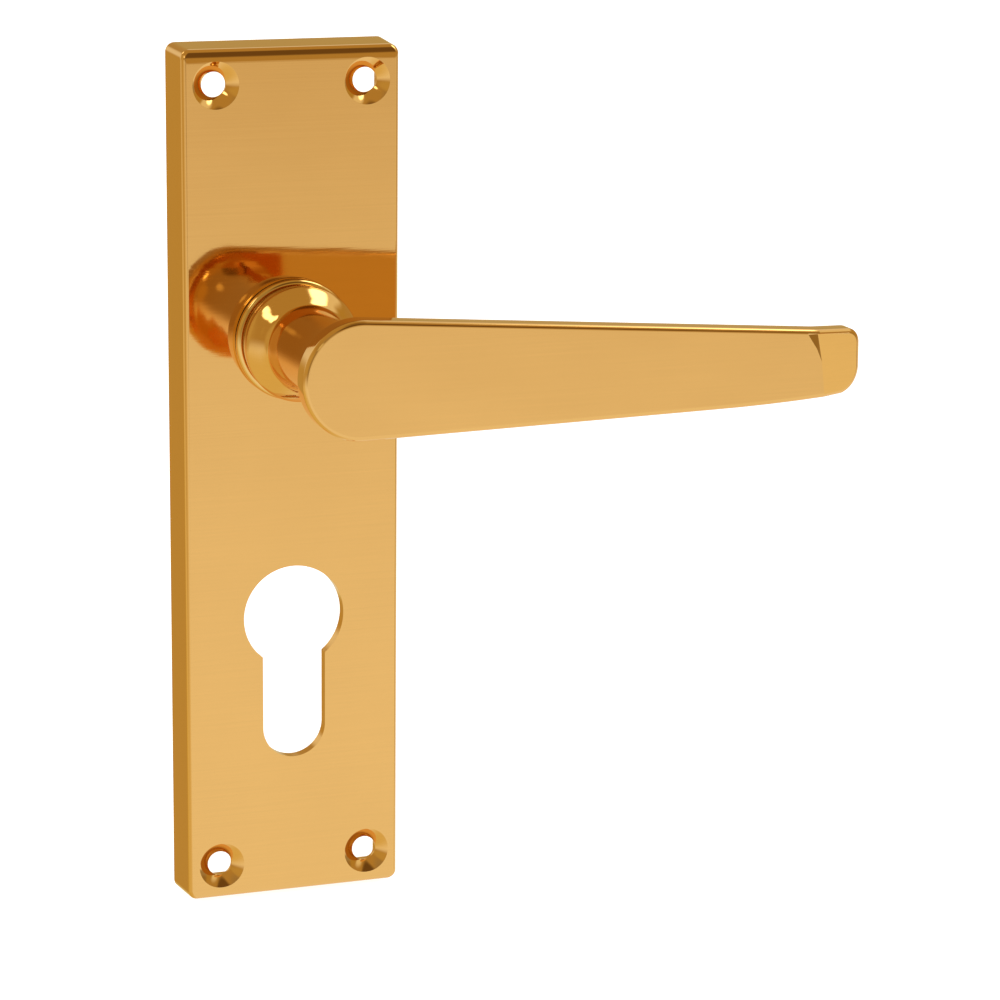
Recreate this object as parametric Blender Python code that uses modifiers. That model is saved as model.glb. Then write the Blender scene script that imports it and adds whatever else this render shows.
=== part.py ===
"""Sprung lever handle on a rectangular backplate with a euro-profile cut-out.

World frame: origin on the lever axis at the face of the door, +Z up, -Y away
from the door, +X along the lever at rest.

Every piece is drawn flat, as on a bench: local X along the lever, local Y up
the plate, local Z away from the door (the height above the door face). One
empty stands the whole handle up, and a second one on the lever axis carries
everything that turns.
"""
import math

import bmesh
import bpy
from mathutils import Matrix, Vector

MM = 0.001
GAP = 0.3 * MM
SLACK = 3.0 * MM

# Backplate: a cast shell, open at the back.
PLATE_W = 38.2 * MM
PLATE_H = 146.6 * MM
PLATE_DEPTH = 9.0 * MM
PLATE_WALL = 2.0 * MM
PLATE_DRAFT = 0.45 * MM
PLATE_CORNER = 1.6 * MM
PLATE_ROUND = 1.0 * MM
PLATE_CENTRE = -24.3 * MM
PLATE_INNER = PLATE_DEPTH - PLATE_WALL
FIX_SPACING_X = 26.0 * MM
FIX_SPACING_Y = 134.0 * MM
FIX_BORE_R = 2.1 * MM
FIX_SINK_R = 3.95 * MM
FIX_SINK_DEPTH = 1.5 * MM

# Euro-profile cut-out, straight below the lever axis.
CENTRES = 48.0 * MM
CUT_HEAD_R = 8.8 * MM
CUT_LEG_W = 11.0 * MM
CUT_DROP = 24.9 * MM

# Lever neck, turned about the lever axis.
NECK_HOLE_R = 8.8 * MM
SHANK_R = 7.4 * MM
SHANK_END = 0.6 * MM
SHANK_FLAT = 6.6 * MM
NECK_BASE = 12.1 * MM
BELL_R = 9.75 * MM
BELL_AT = 14.4 * MM
BELL_EDGE = 0.5 * MM
SOCKET = 8.2 * MM
SOCKET_END = 26.0 * MM

# Grip, a tapering flat bar with a round end over the neck.
GRIP_BACK = 42.7 * MM
GRIP_FRONT = 47.0 * MM
GRIP_END_R = 9.65 * MM
GRIP_REACH = 87.5 * MM
GRIP_BEND_X = 79.0 * MM
GRIP_BEND = math.radians(16.0)
GRIP_ROUND = 0.9 * MM
TOP_TAPER = 0.074
LOW_TAPER = 0.021
TIP_LOW_R = 4.6 * MM
TIP_TOP_R = 2.5 * MM

# Return mechanism inside the backplate, as (low, high) heights.
WASHER_H = (6.2 * MM, 6.7 * MM)
CAM_H = (4.35 * MM, 5.85 * MM)
TAB_H = (3.2 * MM, 6.7 * MM)
WAVE_AT = 3.75 * MM
CIRCLIP_H = (2.3 * MM, 3.1 * MM)
GROOVE_H = (2.0 * MM, 3.4 * MM)
GROOVE_R = 6.7 * MM
COVER_H = (1.1 * MM, 1.9 * MM)
SCREW_HEAD_H = (0.1 * MM, 0.8 * MM)
POST_TOP = COVER_H[1] + GAP
HUB_R = 9.4 * MM
ARM_ANGLE = math.radians(22.5)
ARM_HALF = 1.6 * MM
ARM_LONG = 18.3 * MM
ARM_SHORT = 13.8 * MM
SPRING_AT = 11.6 * MM
SPRING_H = 4.9 * MM
SPRING_OD = 3.6 * MM
SPRING_WIRE = 0.6 * MM
SPRING_TURNS = 7
SPRING_SEAT = 13.0 * MM
PIN_AT = 17.5 * MM
PIN_R = 0.9 * MM
PIN_ANGLE = math.radians(31.8)
POST_X = 13.2 * MM
POST_Y = 16.4 * MM
POST_R = 2.4 * MM
COVER_W = 32.0 * MM
COVER_L = 39.0 * MM

BRASS = ((0.78, 0.55, 0.25), 1.0, 0.12)
BRONZE = ((0.55, 0.33, 0.16), 1.0, 0.35)
ZINC = ((0.62, 0.62, 0.60), 1.0, 0.35)
SPRING_STEEL = ((0.35, 0.35, 0.36), 1.0, 0.3)


def clear_scene():
    for item in list(bpy.data.objects):
        bpy.data.objects.remove(item, do_unlink=True)
    for group in list(bpy.data.collections):
        bpy.data.collections.remove(group)


def new_collection(name):
    group = bpy.data.collections.new(name)
    bpy.context.scene.collection.children.link(group)
    return group


def new_empty(name, parent):
    empty = bpy.data.objects.new(name, None)
    empty.empty_display_size = 0.02
    empty.parent = parent
    PARTS.objects.link(empty)
    return empty


def place(obj, parent, group):
    """Put an object under an empty, and mark it if it is only a cutter."""
    group.objects.link(obj)
    obj.parent = parent
    if group is CUTTERS:
        obj.hide_render = True
        obj.display_type = "WIRE"
    return obj


def dress(obj, finish):
    """Give a piece its own material and smooth its round sides."""
    colour, metallic, roughness = finish
    mat = bpy.data.materials.new(obj.name)
    mat.use_nodes = True
    shader = mat.node_tree.nodes["Principled BSDF"]
    shader.inputs["Base Color"].default_value = (*colour, 1.0)
    shader.inputs["Metallic"].default_value = metallic
    shader.inputs["Roughness"].default_value = roughness
    mat.diffuse_color = (*colour, 1.0)
    obj.data.materials.append(mat)
    if obj.type == "MESH":
        obj.data.shade_smooth()
        obj.data.set_sharp_from_angle(angle=math.radians(32.0))
    return obj


def mesh_object(name, work, parent, group):
    mesh = bpy.data.meshes.new(name)
    work.to_mesh(mesh)
    work.free()
    return place(bpy.data.objects.new(name, mesh), parent, group)


def cylinder(name, radius, low, high, at, parent, group, sides=32):
    work = bmesh.new()
    middle = Matrix.Translation((at[0], at[1], (low + high) / 2))
    bmesh.ops.create_cone(
        work, cap_ends=True, segments=sides, radius1=radius, radius2=radius, depth=high - low, matrix=middle
    )
    return mesh_object(name, work, parent, group)


def block(name, x, y, z, parent, group, turned=0.0):
    """Box between (low, high) pairs, turned about the lever axis."""
    work = bmesh.new()
    size = Matrix.Diagonal((x[1] - x[0], y[1] - y[0], z[1] - z[0], 1.0))
    middle = Matrix.Translation((sum(x) / 2, sum(y) / 2, sum(z) / 2))
    spin = Matrix.Rotation(turned, 4, "Z")
    bmesh.ops.create_cube(work, size=1.0, matrix=spin @ middle @ size)
    return mesh_object(name, work, parent, group)


def turned(name, profile, closed, parent, group, sides=64, at=(0.0, 0.0)):
    """Screw a (radius, height) profile round the Z axis; it runs down outside."""
    work = bmesh.new()
    points = [work.verts.new((r, 0.0, h)) for r, h in profile]
    for a, b in zip(points, points[1:]):
        work.edges.new((a, b))
    if closed:
        work.edges.new((points[-1], points[0]))
    obj = mesh_object(name, work, parent, group)
    obj.location = (at[0], at[1], 0.0)
    screw = obj.modifiers.new("turn", "SCREW")
    screw.axis = "Z"
    screw.steps = sides
    screw.render_steps = sides
    screw.use_merge_vertices = True
    screw.merge_threshold = 0.00001
    return obj


def to_mesh(obj, parent, group):
    """Swap an object for the closed mesh that it evaluates to."""
    bpy.context.view_layer.update()
    ready = obj.evaluated_get(bpy.context.evaluated_depsgraph_get())
    mesh = bpy.data.meshes.new_from_object(ready)
    name = obj.name
    local = obj.matrix_basis.copy()
    bpy.data.objects.remove(obj, do_unlink=True)
    mesh.name = name
    work = bmesh.new()
    work.from_mesh(mesh)
    bmesh.ops.remove_doubles(work, verts=work.verts, dist=0.000001)
    bmesh.ops.recalc_face_normals(work, faces=work.faces)
    work.to_mesh(mesh)
    work.free()
    made = place(bpy.data.objects.new(name, mesh), parent, group)
    made.matrix_basis = local
    return made


def flat(name, outlines, low, high, parent, group):
    """Fill flat outlines (holes too) and extrude them between two heights."""
    curve = bpy.data.curves.new(name, "CURVE")
    curve.dimensions = "2D"
    curve.fill_mode = "BOTH"
    curve.extrude = (high - low) / 2
    for outline in outlines:
        spline = curve.splines.new("POLY")
        spline.points.add(len(outline) - 1)
        for point, (x, y) in zip(spline.points, outline):
            point.co = (x, y, 0.0, 1.0)
        spline.use_cyclic_u = True
    obj = place(bpy.data.objects.new(name, curve), parent, group)
    obj.location.z = (low + high) / 2
    return to_mesh(obj, parent, group)


def combine(target, tool, operation):
    mod = target.modifiers.new(tool.name, "BOOLEAN")
    mod.operation = operation
    mod.solver = "EXACT"
    mod.object = tool


def cut(target, tool):
    combine(target, tool, "DIFFERENCE")


def join(target, tool):
    combine(target, tool, "UNION")


def arc(centre, radii, start, stop, steps):
    """Points along part of an ellipse, angles in degrees."""
    out = []
    for i in range(steps + 1):
        a = math.radians(start + (stop - start) * i / steps)
        out.append((centre[0] + radii[0] * math.cos(a), centre[1] + radii[1] * math.sin(a)))
    return out


def four(x, y):
    return [(sx * x, sy * y) for sy in (1, -1) for sx in (-1, 1)]


def pin_places():
    x = PIN_AT * math.sin(PIN_ANGLE)
    y = -PIN_AT * math.cos(PIN_ANGLE)
    return {"rest": (x, y), "travel": (-x, y)}


def tray_solid(name, width, length, low, high, corner, group):
    """Block whose sides lean in by the draft, with rounded upright corners."""
    work = bmesh.new()
    size = Matrix.Diagonal((width, length, high - low, 1.0))
    middle = Matrix.Translation((0.0, PLATE_CENTRE, (low + high) / 2))
    bmesh.ops.create_cube(work, size=1.0, matrix=middle @ size)
    for vert in work.verts:
        pull = PLATE_DRAFT * vert.co.z / PLATE_DEPTH
        vert.co.x -= math.copysign(pull, vert.co.x)
        vert.co.y -= math.copysign(pull, vert.co.y - PLATE_CENTRE)
    upright = [e for e in work.edges if abs(e.verts[0].co.z - e.verts[1].co.z) > PLATE_DEPTH / 2]
    bmesh.ops.bevel(work, geom=upright, offset=corner, segments=6, profile=0.5, affect="EDGES")
    if group is PARTS:
        front = [e for e in work.edges if all(abs(v.co.z - high) < 1e-6 for v in e.verts)]
        bmesh.ops.bevel(work, geom=front, offset=PLATE_ROUND, segments=4, profile=0.5, affect="EDGES")
    return mesh_object(name, work, DOOR, group)


def euro_outline():
    """Round head over a straight leg with a round foot."""
    half = CUT_LEG_W / 2
    side = math.degrees(math.acos(half / CUT_HEAD_R))
    head = arc((0.0, -CENTRES), (CUT_HEAD_R, CUT_HEAD_R), -side, 180.0 + side, 40)
    foot = arc((0.0, -CENTRES - CUT_DROP + half), (half, half), 180.0, 360.0, 20)
    return head + foot


def backplate():
    plate = tray_solid("backplate", PLATE_W, PLATE_H, 0.0, PLATE_DEPTH, PLATE_CORNER, PARTS)
    inside = (PLATE_W - 2 * PLATE_WALL, PLATE_H - 2 * PLATE_WALL)
    cut(plate, tray_solid("hollow", *inside, -SLACK, PLATE_INNER, 1.2 * MM, CUTTERS))
    root = PLATE_INNER + PLATE_WALL / 2
    for i, at in enumerate(four(POST_X, POST_Y)):
        join(plate, cylinder(f"post_{i + 1}", POST_R, POST_TOP, root, at, DOOR, CUTTERS, 24))
    for side, tag in ((-1, "lower"), (1, "upper")):
        x = sorted((side * (SPRING_SEAT + GAP), side * (SPRING_SEAT + 2.3 * MM)))
        y = sorted((side * (SPRING_AT - 2.2 * MM), side * (SPRING_AT + 2.0 * MM)))
        join(plate, block(f"lug_{tag}", x, y, (POST_TOP, root), DOOR, CUTTERS))
    for i, at in enumerate(four(POST_X, POST_Y)):
        cut(plate, cylinder(f"pilot_{i + 1}", 1.1 * MM, 0.0, 6.4 * MM, at, DOOR, CUTTERS, 16))
    for tag, at in pin_places().items():
        cut(plate, cylinder(f"pin_hole_{tag}", PIN_R + GAP, 0.0, 8.1 * MM, at, DOOR, CUTTERS, 16))
    cut(plate, cylinder("neck_hole", NECK_HOLE_R, -SLACK, PLATE_DEPTH + SLACK, (0.0, 0.0), DOOR, CUTTERS, 64))
    over = 1.0 * MM
    wide = FIX_SINK_R + over * (FIX_SINK_R - FIX_BORE_R) / FIX_SINK_DEPTH
    sink = [(0.0, PLATE_DEPTH + over), (wide, PLATE_DEPTH + over)]
    sink += [(FIX_BORE_R, PLATE_DEPTH - FIX_SINK_DEPTH), (FIX_BORE_R, -SLACK), (0.0, -SLACK)]
    for i, (x, y) in enumerate(four(FIX_SPACING_X / 2, FIX_SPACING_Y / 2)):
        cut(plate, turned(f"fixing_{i + 1}", sink, False, DOOR, CUTTERS, 32, (x, y + PLATE_CENTRE)))
    cut(plate, flat("euro_cut", [euro_outline()], -SLACK, PLATE_DEPTH + SLACK, DOOR, CUTTERS))
    dress(plate, BRASS)


def neck_collar():
    low = PLATE_DEPTH + GAP
    bead = 0.8 * MM
    profile = [(NECK_HOLE_R, low + 1.6 * MM)]
    profile += arc((9.45 * MM, low + bead), (bead, bead), 90.0, -35.0, 8)
    profile += [(10.0 * MM, low), (NECK_HOLE_R, low)]
    dress(turned("neck_collar", profile, True, DOOR, PARTS, 72), BRASS)


def neck_bush():
    inner = SHANK_R + GAP
    sleeve = NECK_HOLE_R - GAP
    lip = 9.1 * MM
    top = NECK_BASE - GAP
    under = PLATE_DEPTH + 2.2 * MM
    profile = [(inner, top), (lip, top), (lip, under), (sleeve, under), (sleeve, PLATE_INNER), (inner, PLATE_INNER)]
    dress(turned("neck_bush", profile, True, DOOR, PARTS, 64), BRONZE)


def neck_profile():
    """Half section of the lever's neck, from inside the grip to the shank end."""
    edge = 0.4 * MM
    points = [(0.0, 44.5), (8.3, 44.5), (8.3, 43.0), (7.6, 41.7), (7.02, 39.5), (6.6, 36.4), (6.42, 32.0)]
    points += [(6.48, 27.5), (6.62, 23.4), (6.72, 20.6), (6.8, 19.0), (6.9, 18.1), (7.08, 17.56)]
    points += [(7.38, 17.14), (7.8, 16.7), (8.28, 16.24), (8.72, 15.8), (9.1, 15.4), (9.42, 15.04)]
    points += [(9.62, 14.77)]
    profile = [(r * MM, h * MM) for r, h in points]
    profile += arc((BELL_R - BELL_EDGE, BELL_AT), (BELL_EDGE, BELL_EDGE), 35.0, 0.0, 3)
    profile.append((BELL_R - 0.12 * MM, BELL_AT - 1.1 * MM))
    profile += arc((BELL_R - 0.62 * MM, NECK_BASE + 0.4 * MM), (0.4 * MM, 0.4 * MM), 0.0, -90.0, 3)
    profile += [(SHANK_R, NECK_BASE), (SHANK_R, GROOVE_H[1]), (GROOVE_R, GROOVE_H[1])]
    profile += [(GROOVE_R, GROOVE_H[0]), (SHANK_R, GROOVE_H[0]), (SHANK_R, SHANK_END + edge)]
    profile += [(SHANK_R - edge, SHANK_END), (0.0, SHANK_END)]
    return profile


def grip_outline():
    """Grip from the front: round end, slow taper, unequal rounded tip corners."""
    top = math.atan(TOP_TAPER)
    low = math.atan(LOW_TAPER)

    def upper(x):
        return GRIP_END_R / math.cos(top) - TOP_TAPER * x

    def lower(x):
        return LOW_TAPER * x - GRIP_END_R / math.cos(low)

    points = arc((0.0, 0.0), (GRIP_END_R, GRIP_END_R), 90.0 - math.degrees(top), 270.0 + math.degrees(low), 24)
    points.append((66.0 * MM, lower(66.0 * MM)))
    points.append((73.0 * MM, lower(73.0 * MM) + 0.1 * MM))
    points.append((GRIP_BEND_X, lower(GRIP_BEND_X) + 0.45 * MM))
    base = points[-1][1] + 0.15 * MM + TIP_LOW_R
    points += arc((GRIP_REACH - TIP_LOW_R, base), (TIP_LOW_R, TIP_LOW_R), -78.0, -4.0, 7)
    x = GRIP_REACH - TIP_TOP_R
    points += arc((x, upper(x) - TIP_TOP_R), (TIP_TOP_R, TIP_TOP_R), 0.0, 82.0, 5)
    return points


def lever():
    """Grip bar with its tip bent to the door, on the neck and square-socket shank."""
    body = flat("lever", [grip_outline()], GRIP_BACK, GRIP_FRONT, LEVER, PARTS)
    body.data.transform(body.matrix_basis)
    body.matrix_basis = Matrix()
    work = bmesh.new()
    work.from_mesh(body.data)
    bmesh.ops.dissolve_limit(work, angle_limit=0.001, verts=work.verts, edges=work.edges)
    whole = work.verts[:] + work.edges[:] + work.faces[:]
    bmesh.ops.bisect_plane(work, geom=whole, dist=1e-6, plane_co=(GRIP_BEND_X, 0, 0), plane_no=(1, 0, 0))
    for vert in work.verts:
        vert.co.z -= max(0.0, vert.co.x - GRIP_BEND_X) * math.tan(GRIP_BEND)
    work.to_mesh(body.data)
    work.free()
    rim = body.modifiers.new("rim", "BEVEL")
    rim.width = GRIP_ROUND
    rim.segments = 3
    rim.limit_method = "ANGLE"
    rim.angle_limit = math.radians(40.0)
    join(body, turned("neck", neck_profile(), False, LEVER, CUTTERS, 56))
    half = SOCKET / 2
    cut(body, block("socket", (-half, half), (-half, half), (-SLACK, SOCKET_END), LEVER, CUTTERS))
    for side, tag in ((-1, "left"), (1, "right")):
        x = sorted((side * SHANK_FLAT, side * 9.0 * MM))
        y = (-9.0 * MM, 9.0 * MM)
        cut(body, block(f"flat_{tag}", x, y, (-SLACK, CAM_H[1] + GAP), LEVER, CUTTERS))
    dress(body, BRASS)


def thrust_washer():
    inner = SHANK_R + GAP
    outer = 9.2 * MM
    low, high = WASHER_H
    profile = [(inner, high), (outer, high), (outer, low), (inner, low)]
    dress(turned("thrust_washer", profile, True, DOOR, PARTS, 48), ZINC)


def cam_plate():
    """Drive plate on the shank flats, with a long stop arm and a short one."""
    low, high = CAM_H
    skin = 0.08 * MM
    hub = cylinder("cam_plate", HUB_R, low, high, (0.0, 0.0), LEVER, PARTS, 48)
    for reach, spin, tag in ((ARM_LONG, math.pi + ARM_ANGLE, "lower"), (ARM_SHORT, ARM_ANGLE, "upper")):
        x = (-ARM_HALF, ARM_HALF)
        join(hub, block(f"arm_{tag}", x, (8.2 * MM, reach), (low + skin, high - skin), LEVER, CUTTERS, spin))
        x = (-1.0 * MM, 1.0 * MM)
        y = (HUB_R + GAP, ARM_SHORT - 0.1 * MM)
        join(hub, block(f"tab_{tag}", x, y, TAB_H, LEVER, CUTTERS, spin))
    key = cylinder("key", SHANK_R + GAP, low - SLACK, high + SLACK, (0.0, 0.0), LEVER, CUTTERS, 56)
    side = SHANK_FLAT + GAP
    wide = (-10.0 * MM, 10.0 * MM)
    flats = block("key_flats", (-side, side), wide, (low - 2 * SLACK, high + 2 * SLACK), LEVER, CUTTERS)
    combine(key, flats, "INTERSECT")
    cut(hub, key)
    dress(hub, ZINC)


def wave_washer():
    """Thin ring with three waves, which takes up the lever's end play."""
    half = 0.17 * MM
    wave = 0.12 * MM
    inner = SHANK_R + GAP
    outer = 9.1 * MM
    profile = [(inner, WAVE_AT + half), (outer, WAVE_AT + half), (outer, WAVE_AT - half), (inner, WAVE_AT - half)]
    ring = to_mesh(turned("wave_washer", profile, True, LEVER, PARTS, 60), LEVER, PARTS)
    for vert in ring.data.vertices:
        vert.co.z += wave * math.sin(3.0 * math.atan2(vert.co.y, vert.co.x))
    dress(ring, SPRING_STEEL)


def circlip():
    """Open retaining ring with a pierced ear at each side of its mouth."""
    inner = GROOVE_R + GAP
    outer = 8.9 * MM
    mouth = 24.0
    ear = 1.5 * MM
    ear_at = 8.6 * MM
    outline = arc((0.0, 0.0), (inner, inner), 360.0 - mouth, mouth, 40)
    outline += arc(polar(ear_at, mouth), (ear, ear), mouth - 90.0, mouth + 90.0, 8)
    outline += arc((0.0, 0.0), (outer, outer), mouth + 14.0, 346.0 - mouth, 36)
    outline += arc(polar(ear_at, -mouth), (ear, ear), -mouth - 90.0, 90.0 - mouth, 8)
    holes = [arc(polar(ear_at + 0.1 * MM, a), (0.6 * MM, 0.6 * MM), 0.0, 330.0, 11) for a in (mouth, -mouth)]
    clip = flat("circlip", [outline] + holes, CIRCLIP_H[0], CIRCLIP_H[1], LEVER, PARTS)
    dress(clip, SPRING_STEEL)


def polar(radius, degrees):
    a = math.radians(degrees)
    return (radius * math.cos(a), radius * math.sin(a))


def return_spring(tag, side):
    """Compression coil along X, between a lug of the plate and an arm."""
    coil_r = (SPRING_OD - SPRING_WIRE) / 2
    first = SPRING_SEAT - SPRING_WIRE / 2
    last = 2.5 * MM - SPRING_AT * math.sin(ARM_ANGLE) + SPRING_WIRE / 2
    steps = 12 * SPRING_TURNS
    curve = bpy.data.curves.new(f"return_spring_{tag}", "CURVE")
    curve.dimensions = "3D"
    curve.bevel_depth = SPRING_WIRE / 2
    curve.bevel_resolution = 1
    curve.use_fill_caps = True
    spline = curve.splines.new("POLY")
    spline.points.add(steps)
    for i, point in enumerate(spline.points):
        a = 2.0 * math.pi * SPRING_TURNS * i / steps
        x = first + (last - first) * i / steps
        y = SPRING_AT + coil_r * math.cos(a)
        point.co = (side * x, side * y, SPRING_H + coil_r * math.sin(a), 1.0)
    coil = place(bpy.data.objects.new(f"return_spring_{tag}", curve), DOOR, PARTS)
    dress(coil, SPRING_STEEL)


def cover_plate():
    """Flat steel lid, screwed to the posts, that shuts the mechanism in."""
    corner = 3.0 * MM
    outline = []
    quarters = ((1, 1), (-1, 1), (-1, -1), (1, -1))
    for i, (sx, sy) in enumerate(quarters):
        middle = (sx * (COVER_W / 2 - corner), sy * (COVER_L / 2 - corner))
        outline += arc(middle, (corner, corner), 90.0 * i, 90.0 * i + 90.0, 5)
    bore = SHANK_R + 0.6 * MM
    holes = [arc((0.0, 0.0), (bore, bore), 0.0, 352.5, 47)]
    for at in four(POST_X, POST_Y):
        holes.append(arc(at, (1.2 * MM, 1.2 * MM), 0.0, 340.0, 17))
    dress(flat("cover_plate", [outline] + holes, COVER_H[0], COVER_H[1], DOOR, PARTS), ZINC)


def cover_screw(number, at):
    low, high = SCREW_HEAD_H
    tip = 5.9 * MM
    profile = [(0.0, tip), (0.8 * MM, tip), (0.8 * MM, high), (1.9 * MM, high)]
    profile += [(1.9 * MM, low + 0.3 * MM), (1.5 * MM, low), (0.0, low)]
    screw = turned(f"cover_screw_{number}", profile, False, DOOR, PARTS, 24, at)
    arm = 1.1 * MM
    half = 0.22 * MM
    for tag, dx, dy in (("a", arm, half), ("b", half, arm)):
        x = (at[0] - dx, at[0] + dx)
        y = (at[1] - dy, at[1] + dy)
        cut(screw, block(f"recess_{number}{tag}", x, y, (-low, 0.5 * MM), DOOR, CUTTERS))
    dress(screw, ZINC)


def stop_pins():
    for tag, at in pin_places().items():
        dress(cylinder(f"stop_pin_{tag}", PIN_R, POST_TOP, 7.8 * MM, at, DOOR, PARTS, 20), ZINC)


clear_scene()
PARTS = new_collection("euro_lever_on_backplate")
CUTTERS = new_collection("cutters")
DOOR = new_empty("door_face", None)
DOOR.rotation_euler = (math.radians(90.0), 0.0, 0.0)
LEVER = new_empty("lever_axis", DOOR)

backplate()
neck_collar()
neck_bush()
lever()
thrust_washer()
cam_plate()
wave_washer()
circlip()
return_spring("lower", -1)
return_spring("upper", 1)
cover_plate()
for count, spot in enumerate(four(POST_X, POST_Y)):
    cover_screw(count + 1, spot)
stop_pins()
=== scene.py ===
"""Looks for the sprung lever handle on its euro-profile backplate.

Metres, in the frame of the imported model: origin on the lever axis at the door
face, +Z up, -Y towards the hand, +X along the lever. New pieces are drawn flat,
as on a bench (X along the lever, Y up the plate, Z away from the door), and
stood up by one rotation when their mesh is finished.
"""
import math

import bmesh
import bpy
from mathutils import Matrix, Vector


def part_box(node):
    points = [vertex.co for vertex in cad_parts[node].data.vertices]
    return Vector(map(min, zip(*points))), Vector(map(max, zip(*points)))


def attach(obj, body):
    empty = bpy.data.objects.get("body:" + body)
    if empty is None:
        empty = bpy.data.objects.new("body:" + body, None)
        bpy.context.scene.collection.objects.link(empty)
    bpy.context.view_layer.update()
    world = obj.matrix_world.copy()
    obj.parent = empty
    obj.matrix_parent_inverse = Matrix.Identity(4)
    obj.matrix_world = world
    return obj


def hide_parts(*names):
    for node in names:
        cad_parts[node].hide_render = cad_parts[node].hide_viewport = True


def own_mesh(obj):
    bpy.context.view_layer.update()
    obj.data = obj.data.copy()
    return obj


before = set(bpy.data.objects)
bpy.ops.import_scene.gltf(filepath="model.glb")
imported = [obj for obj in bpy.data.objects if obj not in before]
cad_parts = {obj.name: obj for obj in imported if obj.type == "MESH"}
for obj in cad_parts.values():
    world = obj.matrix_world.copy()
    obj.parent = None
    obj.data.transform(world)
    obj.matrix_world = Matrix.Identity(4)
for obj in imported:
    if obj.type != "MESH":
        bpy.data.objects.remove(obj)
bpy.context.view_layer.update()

MM = 0.001
STAND = Matrix.Rotation(math.radians(90.0), 4, "X")
SLACK = 3.0 * MM
CORNERS = ((1, 1), (-1, 1), (-1, -1), (1, -1))

# Plate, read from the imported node.
PLATE_LOW, PLATE_HIGH = (Vector(c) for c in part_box("backplate"))
PLATE_W = PLATE_HIGH.x - PLATE_LOW.x
PLATE_L = PLATE_HIGH.z - PLATE_LOW.z
PLATE_DEPTH = PLATE_HIGH.y - PLATE_LOW.y
PLATE_CENTRE = (PLATE_HIGH.z + PLATE_LOW.z) / 2
PLATE_WALL = 2.0 * MM
PLATE_INNER = PLATE_DEPTH - PLATE_WALL
PLATE_DRAFT = 0.45 * MM
PLATE_CORNER = 1.6 * MM
LEAST_CORNER = 0.15 * MM
ROUND_SIDE = 0.75 * MM
ROUND_END = 2.3 * MM
ROUND_DEEP = 1.3 * MM
HOLLOW_CORNER = 1.4 * MM
HOLLOW_FILLET = 0.7 * MM
FIX_X = 13.0 * MM
FIX_Y = 67.0 * MM
FIX_BORE_R = 2.1 * MM
FIX_SINK_R = 3.95 * MM
FIX_SINK_DEPTH = 1.5 * MM
CENTRES = 48.0 * MM
CUT_HEAD_R = 8.8 * MM
CUT_LEG_W = 11.0 * MM
CUT_DROP = 24.9 * MM
NECK_HOLE_R = 8.8 * MM
COVER_CORNER = 3.0 * MM
COVER_HOLE_R = 1.2 * MM
POST_X = 13.2 * MM
POST_Y = 16.4 * MM
POST_R = 2.4 * MM
POST_TOP = 2.2 * MM
ROOT_DEPTH = 1.0 * MM
PILOT_R = 1.1 * MM
PILOT_END = 6.4 * MM
PIN_HOLE_R = 1.2 * MM
PIN_HOLE_END = 8.1 * MM
PIN_REACH = 17.5 * MM
PIN_ANGLE = math.radians(31.8)
SPRING_SEAT = 13.0 * MM
SPRING_AT = 11.6 * MM
SPRING_H = 4.9 * MM
LUG_X = (SPRING_SEAT + 0.3 * MM, SPRING_SEAT + 2.3 * MM)
LUG_Y = (SPRING_AT - 2.2 * MM, SPRING_AT + 2.0 * MM)
SPRING_OD = 3.6 * MM
SPRING_WIRE = 0.6 * MM
SPRING_TURNS = 7

# Lever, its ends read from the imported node.
LEVER_LOW, LEVER_HIGH = (Vector(c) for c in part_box("lever"))
GRIP_FRONT = -LEVER_LOW.y
GRIP_BACK = GRIP_FRONT - 4.3 * MM
GRIP_END_R = -LEVER_LOW.x
GRIP_REACH = LEVER_HIGH.x
GRIP_BEND_X = 79.0 * MM
GRIP_BEND = math.radians(16.0)
GRIP_ROUND = 0.85 * MM
TOP_TAPER = 0.074
LOW_TAPER = 0.021
TIP_LOW_R = 4.6 * MM
TIP_TOP_R = 2.5 * MM
TIP_LOW_SWEEP = (-76.0, -3.0)
TIP_TOP_SWEEP = (0.0, 84.0)
LOW_LIFT_FROM = 62.0 * MM
LOW_LIFT = 0.45 * MM
CREASE_LEAN = 0.095
FACET_X = 76.9 * MM
FACET_SIDE = (78.55 * MM, 0.75 * MM)
FACET_FOOT = (79.5 * MM, -1.45 * MM)
FACET_DIP = 0.85 * MM
SHANK_R = 7.4 * MM
COVER_BORE_R = SHANK_R + 0.6 * MM
SHANK_END = -LEVER_HIGH.y
SHANK_FLAT = 6.6 * MM
SHANK_FLAT_END = 6.15 * MM
NECK_BASE = 12.1 * MM
BELL_R = 9.75 * MM
BELL_AT = 14.4 * MM
BELL_EDGE = 0.5 * MM
BELL_FOOT_R = BELL_R - 0.62 * MM
BELL_FOOT_EDGE = 0.4 * MM
SHANK_EDGE = 0.4 * MM
# (radius, height) along the neck in mm, from the bell's front to the grip.
NECK_CURVE = (
    (9.62, 14.77), (9.42, 15.04), (9.10, 15.40), (8.72, 15.80), (8.28, 16.24), (7.80, 16.70),
    (7.38, 17.14), (7.08, 17.56), (6.90, 18.1), (6.80, 19.0), (6.72, 20.6), (6.62, 23.4),
    (6.48, 27.5), (6.42, 32.0), (6.60, 36.4), (7.02, 39.5), (7.6, 41.7), (8.3, 43.0),
)
NECK_TOP = 44.5 * MM
SOCKET = 8.2 * MM
SOCKET_END = 26.0 * MM
GROOVE_H = (2.0 * MM, 3.4 * MM)
GROOVE_R = 6.7 * MM

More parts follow.
